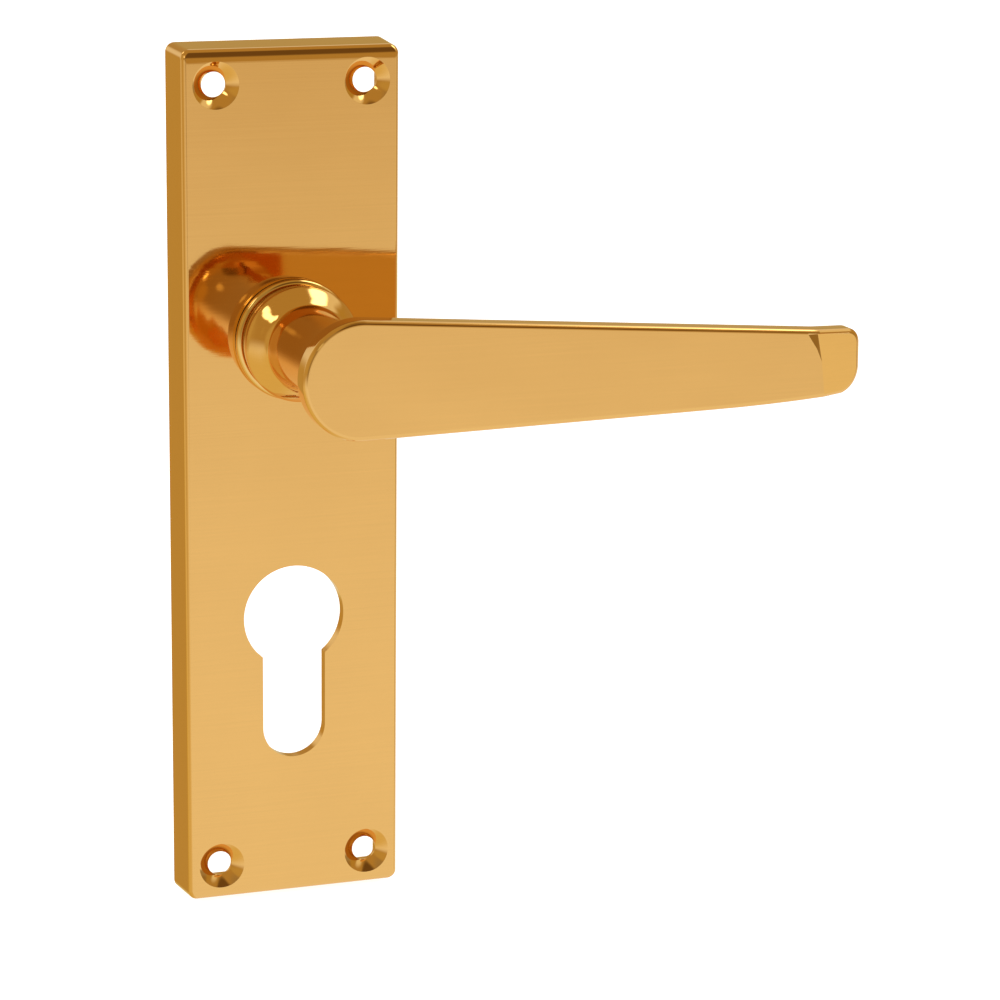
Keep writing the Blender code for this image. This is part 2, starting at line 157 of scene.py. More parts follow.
# Collar, bush and screws.
BEAD_R = 0.8 * MM
BEAD_AT = 9.45 * MM
COLLAR_FOOT_R = 9.98 * MM
COLLAR_CHAMFER = 0.15 * MM
LIP_R = 0.3 * MM
LIP_AT = 8.8 * MM
HEAD_R = 1.82 * MM
HEAD_DOME = (0.5 * MM, 0.42 * MM)
HEAD_DOME_AT = 1.4 * MM
HEAD_HEIGHT = 0.8 * MM
THREAD_TURNS = 9
THREAD_SHAPE = ((0.60 * MM, 0.1), (0.79 * MM, 0.45), (0.60 * MM, 0.8))
RECESS_ARM = 1.05 * MM
RECESS_HALF = 0.2 * MM

# Brass as photographed: reflectance at normal view, warm and a little deep.
BRASS = (0.835, 0.490, 0.155)
BRASS_TURNED = (0.835, 0.530, 0.175)


# ---------------------------------------------------------------- materials

class Graph:
    """Small helper to add and link shader nodes."""

    def __init__(self, name):
        self.material = bpy.data.materials.new(name)
        self.material.use_nodes = True
        self.tree = self.material.node_tree
        self.shader = self.tree.nodes["Principled BSDF"]

    def node(self, kind, **values):
        made = self.tree.nodes.new(kind)
        for key, value in values.items():
            setattr(made, key, value)
        return made

    def link(self, source, target):
        self.tree.links.new(source, target)

    def place(self, scale):
        """Object coordinates, stretched by a scale for each axis."""
        where = self.node("ShaderNodeTexCoord")
        stretch = self.node("ShaderNodeMapping")
        stretch.inputs["Scale"].default_value = scale
        self.link(where.outputs["Object"], stretch.inputs["Vector"])
        return stretch.outputs["Vector"]

    def noise(self, vector, scale, detail=2.0, rough=0.5):
        made = self.node("ShaderNodeTexNoise")
        made.inputs["Scale"].default_value = scale
        made.inputs["Detail"].default_value = detail
        made.inputs["Roughness"].default_value = rough
        self.link(vector, made.inputs["Vector"])
        return made.outputs["Fac"]

    def span(self, source, low, high, start=0.0, stop=1.0):
        made = self.node("ShaderNodeMapRange")
        made.inputs["From Min"].default_value = start
        made.inputs["From Max"].default_value = stop
        made.inputs["To Min"].default_value = low
        made.inputs["To Max"].default_value = high
        self.link(source, made.inputs["Value"])
        return made.outputs["Result"]

    def math(self, operation, a, b):
        made = self.node("ShaderNodeMath", operation=operation)
        for slot, value in zip(made.inputs, (a, b)):
            if isinstance(value, float):
                slot.default_value = value
            else:
                self.link(value, slot)
        return made.outputs[0]

    def mix(self, factor, a, b):
        made = self.node("ShaderNodeMix", data_type="RGBA")
        self.link(factor, made.inputs["Factor"])
        made.inputs["A"].default_value = (*a, 1.0)
        made.inputs["B"].default_value = (*b, 1.0)
        return made.outputs["Result"]

    def bump(self, height, distance, strength=1.0, before=None):
        made = self.node("ShaderNodeBump")
        made.inputs["Strength"].default_value = strength
        made.inputs["Distance"].default_value = distance
        self.link(height, made.inputs["Height"])
        if before is not None:
            self.link(before, made.inputs["Normal"])
        return made.outputs["Normal"]


def polished_brass(name, lines, tone, waves=(60.0, 60.0, 60.0), dull=0.0):
    """Buffed and lacquered brass; lines is the scale of its linishing lines.

    dull is the roughness added where the mops don't reach.
    """
    g = Graph(name)
    fine = g.noise(g.place(lines), 1.0, 3.0, 0.6)
    coarse = g.noise(g.place(tuple(0.22 * s for s in lines)), 1.0, 2.0, 0.5)
    cloud = g.noise(g.place((45.0, 45.0, 45.0)), 1.0, 4.0, 0.6)
    handled = g.noise(g.place((14.0, 14.0, 14.0)), 1.0, 2.0, 0.5)
    blend = g.math("ADD", g.math("MULTIPLY", fine, 0.5), g.math("MULTIPLY", cloud, 0.5))
    tint = g.span(blend, 0.0, 1.0, 0.3, 0.7)
    deep = tuple(0.97 * c for c in tone)
    pale = tuple(1.03 * c for c in tone)
    g.link(g.mix(tint, deep, pale), g.shader.inputs["Base Color"])
    g.shader.inputs["Metallic"].default_value = 1.0
    streaks = g.span(fine, 0.03 + dull, 0.07 + dull, 0.35, 0.75)
    shine = g.math("ADD", streaks, g.span(handled, 0.0, 0.025, 0.45, 0.75))
    g.link(shine, g.shader.inputs["Roughness"])
    swell = g.bump(g.noise(g.place(waves), 1.0, 1.0, 0.4), 0.00006)
    ground = g.bump(coarse, 0.0000025, before=swell)
    g.link(g.bump(fine, 0.0000008, before=ground), g.shader.inputs["Normal"])
    return g.material


def cast_brass(name):
    """Unpolished inside of the casting: dull, granular, slightly oxidised."""
    g = Graph(name)
    grain = g.noise(g.place((2600.0, 2600.0, 2600.0)), 1.0, 4.0, 0.7)
    stain = g.noise(g.place((120.0, 120.0, 120.0)), 1.0, 5.0, 0.65)
    tone = g.mix(g.span(stain, 0.0, 1.0, 0.3, 0.7), (0.34, 0.19, 0.07), (0.60, 0.38, 0.16))
    g.link(tone, g.shader.inputs["Base Color"])
    g.shader.inputs["Metallic"].default_value = 1.0
    g.link(g.span(stain, 0.42, 0.62), g.shader.inputs["Roughness"])
    g.link(g.bump(grain, 0.00004), g.shader.inputs["Normal"])
    return g.material


def bronze(name):
    """Sintered bronze: fine open pores, a film of oil, light wear."""
    g = Graph(name)
    pores = g.noise(g.place((4200.0, 4200.0, 4200.0)), 1.0, 3.0, 0.65)
    stain = g.noise(g.place((260.0, 260.0, 260.0)), 1.0, 4.0, 0.6)
    tone = g.mix(g.span(stain, 0.0, 1.0, 0.3, 0.7), (0.42, 0.24, 0.10), (0.58, 0.36, 0.17))
    g.link(tone, g.shader.inputs["Base Color"])
    g.shader.inputs["Metallic"].default_value = 1.0
    g.link(g.span(pores, 0.24, 0.42), g.shader.inputs["Roughness"])
    g.link(g.bump(pores, 0.000008), g.shader.inputs["Normal"])
    return g.material


def steel(name, dark, light, rough, lines):
    """Plated or oiled steel with rolled or drawn lines and faint passivation."""
    g = Graph(name)
    drawn = g.noise(g.place(lines), 1.0, 3.0, 0.6)
    bloom = g.noise(g.place((180.0, 180.0, 180.0)), 1.0, 5.0, 0.7)
    g.link(g.mix(g.span(bloom, 0.0, 1.0, 0.35, 0.65), dark, light), g.shader.inputs["Base Color"])
    g.shader.inputs["Metallic"].default_value = 1.0
    g.link(g.span(drawn, rough - 0.07, rough + 0.09, 0.3, 0.7), g.shader.inputs["Roughness"])
    g.link(g.bump(drawn, 0.000004), g.shader.inputs["Normal"])
    return g.material


# ------------------------------------------------------------- mesh helpers

def new_object(name, work):
    mesh = bpy.data.meshes.new(name)
    bmesh.ops.recalc_face_normals(work, faces=work.faces)
    work.to_mesh(mesh)
    work.free()
    obj = bpy.data.objects.new(name, mesh)
    bpy.context.scene.collection.objects.link(obj)
    return obj


def loft(name, rings):
    """Skin a row of equal rings and cap both ends."""
    work = bmesh.new()
    rows = [[work.verts.new(p) for p in ring] for ring in rings]
    skin(work, rows)
    work.faces.new(rows[0])
    work.faces.new(rows[-1])
    return new_object(name, work)


def skin(work, rows):
    count = len(rows[0])
    for a, b in zip(rows, rows[1:]):
        for i in range(count):
            j = (i + 1) % count
            work.faces.new((a[i], a[j], b[j], b[i]))


def lathe(name, profile, sides, at=(0.0, 0.0)):
    """Turn a (radius, height) profile; closed ring if it starts where it ends."""
    work = bmesh.new()
    ringed = profile[0] == profile[-1]
    points = profile[:-1] if ringed else profile
    rows = []
    for r, h in points:
        if r < 1e-7:
            rows.append([work.verts.new((at[0], at[1], h))])
            continue
        row = []
        for i in range(sides):
            a = 2.0 * math.pi * i / sides
            row.append(work.verts.new((at[0] + r * math.cos(a), at[1] + r * math.sin(a), h)))
        rows.append(row)
    pairs = list(zip(rows, rows[1:]))
    if ringed:
        pairs.append((rows[-1], rows[0]))
    for a, b in pairs:
        for i in range(sides):
            j = (i + 1) % sides
            corners = [a[i % len(a)], a[j % len(a)], b[j % len(b)], b[i % len(b)]]
            unique = list(dict.fromkeys(corners))
            work.faces.new(unique)
    return new_object(name, work)


def prism(name, outline, low, high):
    return loft(name, [[(x, y, h) for x, y in outline] for h in (low, high)])


def bar(name, x, y, z):
    outline = [(x[0], y[0]), (x[1], y[0]), (x[1], y[1]), (x[0], y[1])]
    return prism(name, outline, z[0], z[1])


def arc(centre, radii, start, stop, steps):
    out = []
    for i in range(steps + 1):
        a = math.radians(start + (stop - start) * i / steps)
        out.append((centre[0] + radii[0] * math.cos(a), centre[1] + radii[1] * math.sin(a)))
    return out


def circle(centre, radius, count):
    return arc(centre, (radius, radius), 0.0, 360.0 - 360.0 / count, count - 1)


def four(x, y):
    return [(sx * x, sy * y) for sy in (1, -1) for sx in (-1, 1)]


def carve(obj, steps):
    """Apply Boolean steps in order and drop the tools."""
    for operation, tool in steps:
        mod = obj.modifiers.new("step", "BOOLEAN")
        mod.operation = operation
        mod.solver = "EXACT"
        mod.object = tool
    freeze(obj)
    for _, tool in steps:
        bpy.data.objects.remove(tool, do_unlink=True)


def freeze(obj):
    """Turn the modifiers into plain mesh."""
    bpy.context.view_layer.update()
    ready = obj.evaluated_get(bpy.context.evaluated_depsgraph_get())
    mesh = bpy.data.meshes.new_from_object(ready)
    obj.modifiers.clear()
    obj.data = mesh


def soften(obj, width, angle=32.0, segments=3):
    """Break the sharp edges by a small round."""
    mod = obj.modifiers.new("edge", "BEVEL")
    mod.width = width
    mod.segments = segments
    mod.limit_method = "ANGLE"
    mod.angle_limit = math.radians(angle)
    mod.miter_outer = "MITER_ARC"
    mod.use_clamp_overlap = True
    freeze(obj)


def finish_piece(obj, body, nodes, materials, sharp=35.0):
    """Stand the piece up, shade it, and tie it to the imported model."""
    obj.data.transform(STAND)
    obj.data.materials.clear()
    for mat in materials:
        obj.data.materials.append(mat)
    obj.data.shade_smooth()
    obj.data.set_sharp_from_angle(angle=math.radians(sharp))
    weigh = obj.modifiers.new("flat faces first", "WEIGHTED_NORMAL")
    weigh.keep_sharp = True
    weigh.weight = 80
    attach(obj, body)
    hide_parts(*nodes)
    return obj


def smooth_line(points, steps):
    """Catmull-Rom curve through (radius, height) points."""
    out = []
    ends = [points[0]] + points + [points[-1]]
    for p0, p1, p2, p3 in zip(ends, ends[1:], ends[2:], ends[3:]):
        for i in range(steps):
            t = i / steps
            spot = []
            for a, b, c, d in zip(p0, p1, p2, p3):
                bend = (2 * a - 5 * b + 4 * c - d) * t * t + (3 * b - a - 3 * c + d) * t ** 3
                spot.append(0.5 * (2 * b + (c - a) * t + bend))
            out.append(tuple(spot))
    out.append(points[-1])
    return out


# -------------------------------------------------------------------- plate

def tray_ring(height, side, end, corner, width=PLATE_W, length=PLATE_L):
    """Rounded rectangle at a height, drawn in by side and end amounts."""
    lean = PLATE_DRAFT * height / PLATE_DEPTH
    r = max(LEAST_CORNER, corner - max(side, end))
    ring = []
    for i, (sx, sy) in enumerate(CORNERS):
        cx = sx * (width / 2 - side - r - lean)
        cy = PLATE_CENTRE + sy * (length / 2 - end - r - lean)
        for x, y in arc((cx, cy), (r, r), 90.0 * i, 90.0 * i + 90.0, 10):
            ring.append((x, y, height))
    return ring


def plate_body():
    """Drafted slab, its front edge rounded more at the ends than the sides."""
    rings = [tray_ring(0.0, 0.0, 0.0, PLATE_CORNER)]
    rings.append(tray_ring(0.6 * (PLATE_DEPTH - ROUND_DEEP), 0.0, 0.0, PLATE_CORNER))
    for i in range(13):
        a = math.radians(90.0 * i / 12)
        height = PLATE_DEPTH - ROUND_DEEP * (1.0 - math.sin(a))
        fade = 1.0 - math.cos(a)
        rings.append(tray_ring(height, ROUND_SIDE * fade, ROUND_END * fade, PLATE_CORNER))
    return loft("plate", rings)


def plate_hollow():
    """What is taken out behind the front wall, with a fillet at its floor."""
    size = (PLATE_W - 2.0 * PLATE_WALL, PLATE_L - 2.0 * PLATE_WALL)
    rings = [tray_ring(-SLACK, 0.0, 0.0, HOLLOW_CORNER, *size)]
    for i in range(5):
        a = math.radians(90.0 * i / 4)
        inset = HOLLOW_FILLET * (1.0 - math.cos(a))
        height = PLATE_INNER - HOLLOW_FILLET * (1.0 - math.sin(a))
        rings.append(tray_ring(height, inset, inset, HOLLOW_CORNER, *size))
    return loft("hollow", rings)


def euro_outline():
    """Round head and straight leg with a round end."""
    half = CUT_LEG_W / 2
    side = math.degrees(math.acos(half / CUT_HEAD_R))
    head = arc((0.0, -CENTRES), (CUT_HEAD_R, CUT_HEAD_R), -side, 180.0 + side, 96)
    return head + arc((0.0, -CENTRES - CUT_DROP + half), (half, half), 180.0, 360.0, 48)


def fixing_places():
    return [(x, y + PLATE_CENTRE) for x, y in four(FIX_X, FIX_Y)]


def pin_places():
    return [(s * PIN_REACH * math.sin(PIN_ANGLE), -PIN_REACH * math.cos(PIN_ANGLE)) for s in (1, -1)]


def backplate(face, sunk, cast):
    """Hollow plate with its posts, lugs, holes and countersinks."""
    root = PLATE_INNER + ROOT_DEPTH
    steps = [("DIFFERENCE", plate_hollow())]
    for at in four(POST_X, POST_Y):
        steps.append(("UNION", prism("post", circle(at, POST_R, 48), POST_TOP, root)))
    for side in (-1, 1):
        x = sorted(side * edge for edge in LUG_X)
        y = sorted(side * edge for edge in LUG_Y)
        steps.append(("UNION", bar("lug", x, y, (POST_TOP, root))))
    for at in four(POST_X, POST_Y):
        steps.append(("DIFFERENCE", prism("pilot", circle(at, PILOT_R, 24), 0.0, PILOT_END)))
    for at in pin_places():
        steps.append(("DIFFERENCE", prism("pin", circle(at, PIN_HOLE_R, 24), 0.0, PIN_HOLE_END)))
    neck = circle((0.0, 0.0), NECK_HOLE_R, 144)
    steps.append(("DIFFERENCE", prism("neck", neck, -SLACK, PLATE_DEPTH + SLACK)))
    over = 0.5 * MM
    cone = PLATE_DEPTH - FIX_SINK_DEPTH
    wide = FIX_SINK_R + over * (FIX_SINK_R - FIX_BORE_R) / FIX_SINK_DEPTH
    sink = [(0.0, PLATE_DEPTH + over), (wide, PLATE_DEPTH + over)]
    sink += [(FIX_BORE_R, cone), (FIX_BORE_R, -SLACK), (0.0, -SLACK)]
    for at in fixing_places():
        steps.append(("DIFFERENCE", lathe("fixing", sink, 96, at)))
    steps.append(("DIFFERENCE", prism("euro", euro_outline(), -SLACK, PLATE_DEPTH + SLACK)))
    plate = plate_body()
    carve(plate, steps)
    soften(plate, 0.16 * MM)
    for poly in plate.data.polygons:
        spot = poly.center
        near = min(math.hypot(spot.x - x, spot.y - y) for x, y in fixing_places())
        if near < FIX_SINK_R + 0.1 * MM and spot.z > cone - 0.2 * MM and abs(poly.normal.z) < 0.95:
            poly.material_index = 1
        elif spot.z < PLATE_INNER + 0.02 * MM and inside_tray(spot):
            poly.material_index = 2
    return finish_piece(plate, "backplate", ["backplate"], [face, sunk, cast])


def inside_tray(spot):
    """True for what lies within the outer walls of the plate."""
    wall = 0.3 * MM
    lean = PLATE_DRAFT * spot.z / PLATE_DEPTH
    flank = abs(spot.x) < PLATE_W / 2 - lean - wall
    return flank and abs(spot.y - PLATE_CENTRE) < PLATE_L / 2 - lean - wall


# -------------------------------------------------------------------- lever

def grip_edge_top(x):
    return GRIP_END_R / math.cos(math.atan(TOP_TAPER)) - TOP_TAPER * x


def grip_edge_low(x):
    """The lower edge turns up a little before the tip."""
    lift = LOW_LIFT * max(0.0, (x - LOW_LIFT_FROM) / (GRIP_BEND_X - LOW_LIFT_FROM)) ** 2
    return LOW_TAPER * x - GRIP_END_R / math.cos(math.atan(LOW_TAPER)) + lift


def crease(y):
    """The bend line leans: its low end lies nearer the tip."""
    return GRIP_BEND_X + CREASE_LEAN * (grip_edge_top(GRIP_BEND_X) - y)


def bend(x, y):
    return max(0.0, x - crease(y)) * math.tan(GRIP_BEND)


def grip_ring(inset, height):
    """Grip outline at a height, drawn in by an inset, with its tip bent back.

    Returns the points, and where the bend and the tip's facet meet them.
    """
    top = math.degrees(math.atan(TOP_TAPER))
    low = math.degrees(math.atan(LOW_TAPER))
    r = GRIP_END_R - inset
    points = arc((0.0, 0.0), (r, r), 90.0 - top, 270.0 + low, 72)
    low_x = crease(grip_edge_low(GRIP_BEND_X))
    for i in range(1, 17):
        x = low_x * i / 16
        points.append((x, grip_edge_low(x) + inset))
    marks = [len(points) - 1]
    base = grip_edge_low(low_x) + 0.1 * MM + TIP_LOW_R
    big = TIP_LOW_R - inset
    points += arc((GRIP_REACH - TIP_LOW_R, base), (big, big), *TIP_LOW_SWEEP, 16)
    small = TIP_TOP_R - inset
    x = GRIP_REACH - TIP_TOP_R
    points += arc((x, grip_edge_top(x) - TIP_TOP_R), (small, small), *TIP_TOP_SWEEP, 12)
    for i in range(16, 0, -1):
        if i == 16:
            marks.append(len(points))
        x = GRIP_BEND_X * i / 16
        points.append((x, grip_edge_top(x) - inset))
        if i == 16:
            marks.append(len(points))
            points.append((FACET_X, grip_edge_top(FACET_X) - inset))
    return [(x, y, height - bend(x, y)) for x, y in points], marks


def grip_body():
    """Grip with rounded edges; its front is split at the bend and the facet."""
    rings = []
    for i in range(7):
        a = math.radians(90.0 * i / 6)
        inset = GRIP_ROUND * (1 - math.sin(a))
        rings.append(grip_ring(inset, GRIP_BACK + GRIP_ROUND * (1 - math.cos(a)))[0])
    for i in range(7):
        a = math.radians(90.0 * i / 6)
        inset = GRIP_ROUND * (1 - math.cos(a))
        ring, marks = grip_ring(inset, GRIP_FRONT - GRIP_ROUND * (1 - math.sin(a)))
        rings.append(ring)
    work = bmesh.new()
    rows = [[work.verts.new(p) for p in ring] for ring in rings]
    skin(work, rows)
    back, front = rows[0], rows[-1]
    low, top, facet = marks
    work.faces.new(back[:low + 1] + back[top:])
    work.faces.new(back[low:top + 1])
    dip = work.verts.new((*FACET_FOOT, GRIP_FRONT))
    curve = work.verts.new((*FACET_SIDE, GRIP_FRONT))
    front[top].co.z -= FACET_DIP
    work.faces.new(front[:low + 1] + [dip, curve] + front[facet:])
    work.faces.new([front[facet], curve, front[top]])
    work.faces.new([curve, dip, front[top]])
    work.faces.new(front[low:top + 1] + [dip])
    return new_object("lever_grip", work)


def neck_profile():
    """Half section of the neck: flare in the grip, waist, bell and shank."""
    foot = BELL_FOOT_EDGE
    curve = smooth_line(list(NECK_CURVE), 8)
    profile = [(0.0, NECK_TOP), (curve[-1][0] * MM, NECK_TOP)]
    profile += [(r * MM, h * MM) for r, h in reversed(curve)]
    profile += arc((BELL_R - BELL_EDGE, BELL_AT), (BELL_EDGE, BELL_EDGE), 42.0, 0.0, 6)
    profile += [(BELL_R - 0.12 * MM, BELL_AT - 1.1 * MM)]
    profile += arc((BELL_FOOT_R, NECK_BASE + foot), (foot, foot), 0.0, -90.0, 5)
    profile += [(SHANK_R, NECK_BASE), (SHANK_R, GROOVE_H[1]), (GROOVE_R, GROOVE_H[1])]
    profile += [(GROOVE_R, GROOVE_H[0]), (SHANK_R, GROOVE_H[0]), (SHANK_R, SHANK_END + SHANK_EDGE)]
    profile += [(SHANK_R - SHANK_EDGE, SHANK_END), (0.0, SHANK_END)]
    return profile


def lever(linished, turned, cast, satin):
    """Grip and neck in one piece, with the square socket and the cam's flats."""
    grip = grip_body()
    half = SOCKET / 2
    clear = 9.0 * MM
    steps = [("UNION", lathe("neck", neck_profile(), 160))]
    steps.append(("DIFFERENCE", bar("socket", (-half, half), (-half, half), (-SLACK, SOCKET_END))))
    for side in (-1, 1):
        x = sorted((side * SHANK_FLAT, side * clear))
        steps.append(("DIFFERENCE", bar("flat", x, (-clear, clear), (-SLACK, SHANK_FLAT_END))))
    carve(grip, steps)
    for poly in grip.data.polygons:
        spot = poly.center
        in_socket = max(abs(spot.x), abs(spot.y)) < half + 0.05 * MM and spot.z < SOCKET_END + MM
        if spot.z < NECK_BASE - 0.1 * MM or in_socket:
            poly.material_index = 2
        elif spot.z < GRIP_BACK - 0.02 * MM:
            poly.material_index = 1
        elif spot.z < GRIP_BACK + 0.02 * MM and poly.normal.z < -0.9:
            poly.material_index = 3
    metals = [linished, turned, cast, satin]
    return finish_piece(grip, "lever", ["lever"], metals, 12.0)


# ------------------------------------------------------------- small pieces

def collar(turned):
    """Half-round bead on the face of the plate, around the neck."""
    low = PLATE_DEPTH + 0.3 * MM
    high = low + 2 * BEAD_R
    inner = NECK_HOLE_R
    profile = [(inner, low), (inner, high - COLLAR_CHAMFER), (inner + COLLAR_CHAMFER, high)]
    profile += arc((BEAD_AT, low + BEAD_R), (BEAD_R, BEAD_R), 88.0, -40.0, 24)
    profile += [(COLLAR_FOOT_R, low), (inner, low)]
    ring = lathe("collar_ring", profile, 160)
    return finish_piece(ring, "backplate", ["neck_collar"], [turned])


def bush(porous):
    """Sleeve that carries the neck, with a lip that shows past the collar."""
    inner = SHANK_R + 0.3 * MM
    sleeve = NECK_HOLE_R - 0.3 * MM
    top = NECK_BASE - 0.3 * MM
    under = PLATE_DEPTH + 2.2 * MM
    lip = arc((LIP_AT, (top + under) / 2), (LIP_R, LIP_R), 90.0, -90.0, 10)
    profile = [(inner, PLATE_INNER), (inner, top)] + lip
    profile += [(sleeve, under), (sleeve, PLATE_INNER), (inner, PLATE_INNER)]
    piece = lathe("bush_sleeve", profile, 128)
    return finish_piece(piece, "backplate", ["neck_bush"], [porous])


def cover(zinc):
    """Pressed cover with a bore for the neck and four screw holes."""
    (x0, y0, z0), (x1, y1, z1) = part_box("cover_plate")
    r = COVER_CORNER
    outline = []
    for i, (sx, sy) in enumerate(CORNERS):
        middle = (sx * ((x1 - x0) / 2 - r), sy * ((z1 - z0) / 2 - r))
        outline += arc(middle, (r, r), 90.0 * i, 90.0 * i + 90.0, 10)
    low, high = -y1, -y0
    lid = prism("cover_lid", outline, low, high)
    holes = [circle((0.0, 0.0), COVER_BORE_R, 120)]
    holes += [circle(at, COVER_HOLE_R, 30) for at in four(POST_X, POST_Y)]
    steps = [("DIFFERENCE", prism("hole", hole, low - SLACK, high + SLACK)) for hole in holes]
    carve(lid, steps)
    soften(lid, 0.12 * MM, segments=2)
    return finish_piece(lid, "backplate", ["cover_plate"], [zinc])


def screw(number, at, zinc):
    """Pan head with a cross recess, and a thread that runs down the shank."""
    (_, y0, _), (_, y1, _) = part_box(f"cover_screw_{number}")
    low, tip = -y1, -y0
    profile = [(0.0, tip), (0.35 * MM, tip)]
    pitch = (tip - HEAD_HEIGHT - 0.4 * MM) / THREAD_TURNS
    for i in range(THREAD_TURNS):
        start = tip - 0.1 * MM - i * pitch
        profile += [(r, start - part * pitch) for r, part in THREAD_SHAPE]
    profile += [(0.62 * MM, HEAD_HEIGHT), (HEAD_R, HEAD_HEIGHT)]
    profile += arc((HEAD_DOME_AT, low + HEAD_DOME[1]), HEAD_DOME, 30.0, -90.0, 10)
    profile += [(0.0, low)]
    piece = lathe(f"cover_screw_fine_{number}", profile, 48, at)
    steps = []
    for dx, dy in ((RECESS_ARM, RECESS_HALF), (RECESS_HALF, RECESS_ARM)):
        rings = []
        for part, height in ((1.0, -0.3 * MM), (0.55, 0.62 * MM)):
            corners = ((-dx, -dy), (dx, -dy), (dx, dy), (-dx, dy))
            rings.append([(at[0] + part * x, at[1] + part * y, height) for x, y in corners])
        steps.append(("DIFFERENCE", loft("recess", rings)))
    carve(piece, steps)
    return finish_piece(piece, "backplate", [f"cover_screw_{number}"], [zinc])


def coil(tag, side, wire_steel):
    """Compression spring with closed, ground ends, along X."""
    node = f"return_spring_{tag}"
    (x0, _, _), (x1, _, _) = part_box(node)
    coil_r = (SPRING_OD - SPRING_WIRE) / 2
    wire = SPRING_WIRE / 2
    length = x1 - x0 - SPRING_WIRE
    steps = 30 * SPRING_TURNS
    rings = []
    for i in range(steps + 1):
        t = i / steps
        turn = 2.0 * math.pi * SPRING_TURNS * t
        pitch = t + 0.035 * math.sin(2.0 * math.pi * t)
        x = side * (SPRING_SEAT - wire - length * (2.0 * t - pitch))
        out = Vector((0.0, math.cos(turn), math.sin(turn)))
        ring = []
        for k in range(12):
            b = 2.0 * math.pi * k / 12
            spot = out * (coil_r + wire * math.cos(b))
            ring.append((x + wire * math.sin(b), side * (SPRING_AT + spot.y), SPRING_H + spot.z))
        rings.append(ring)
    piece = loft(f"spring_coil_{tag}", rings)
    finish_piece(piece, "backplate", [node], [wire_steel])
    piece.modifiers.clear()
    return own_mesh(piece)


def repaint(node, mat):
    """Give a finished material to a CAD node that is kept as it is."""
    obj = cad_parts[node]
    obj.data.materials.clear()
    obj.data.materials.append(mat)
    for poly in obj.data.polygons:
        poly.material_index = 0


# -------------------------------------------------------------------- stage

FLOOR_Z = PLATE_LOW.z - 0.4 * MM

CAMERA_AT = Vector((-0.17526, -0.58657, 0.11563))
CAMERA_YAW = math.radians(20.19)
CAMERA_PITCH = math.radians(13.35)
CAMERA_ROLL = math.radians(-0.585)
CAMERA_LENS = 132.1

# What the metal sees around it: (azimuth, elevation, full within, gone beyond,
# colour). Azimuth runs from the front, -Y, towards +X; all in degrees.
ROOM_HIGH = (0.50, 0.35, 0.13)
ROOM_LOW = (0.96, 0.96, 0.96)
ROOM_PATCHES = (
    (-105.0, -50.0, 22.0, 58.0, (0.80, 0.68, 0.34)),
    (-152.0, -36.0, 20.0, 38.0, (0.74, 0.60, 0.20)),
    (-105.0, 12.0, 18.0, 34.0, (0.60, 0.46, 0.20)),
    (-150.0, 10.0, 9.0, 20.0, (0.86, 0.80, 0.62)),
    (-160.0, -13.0, 9.0, 20.0, (0.56, 0.38, 0.10)),
    (161.0, 12.0, 9.0, 22.0, (0.51, 0.37, 0.13)),
    (160.0, -12.0, 9.0, 22.0, (0.68, 0.62, 0.40)),
    (150.0, 36.0, 10.0, 24.0, (0.86, 0.88, 0.90)),
    (-20.0, 18.0, 18.0, 34.0, (0.40, 0.31, 0.17)),
    (-52.0, 12.0, 6.0, 18.0, (0.58, 0.44, 0.17)),
    (16.0, 43.0, 14.0, 24.0, (0.17, 0.10, 0.035)),
    (88.0, 46.0, 16.0, 26.0, (0.88, 0.85, 0.74)),
    (84.0, 18.0, 8.0, 18.0, (0.50, 0.35, 0.10)),
    (76.0, -6.0, 9.0, 17.0, (0.40, 0.33, 0.22)),
    (68.0, 3.0, 8.0, 15.0, (0.34, 0.24, 0.10)),
    (54.0, -15.0, 8.0, 15.0, (0.94, 0.90, 0.74)),
    (-20.0, 20.0, 1.5, 6.0, (0.85, 0.80, 0.55)),
    (-70.0, 46.0, 2.5, 7.0, (3.0, 3.0, 2.7)),
    (-64.0, 39.0, 3.0, 7.0, (3.0, 3.0, 2.7)),
    (-148.0, 38.0, 4.0, 10.0, (2.4, 2.3, 1.9)),
    (84.0, 55.0, 8.0, 14.0, (3.4, 3.4, 3.3)),
)


def towards(azimuth, elevation):
    a = math.radians(azimuth)
    e = math.radians(elevation)
    return Vector((math.sin(a) * math.cos(e), -math.cos(a) * math.cos(e), math.sin(e)))


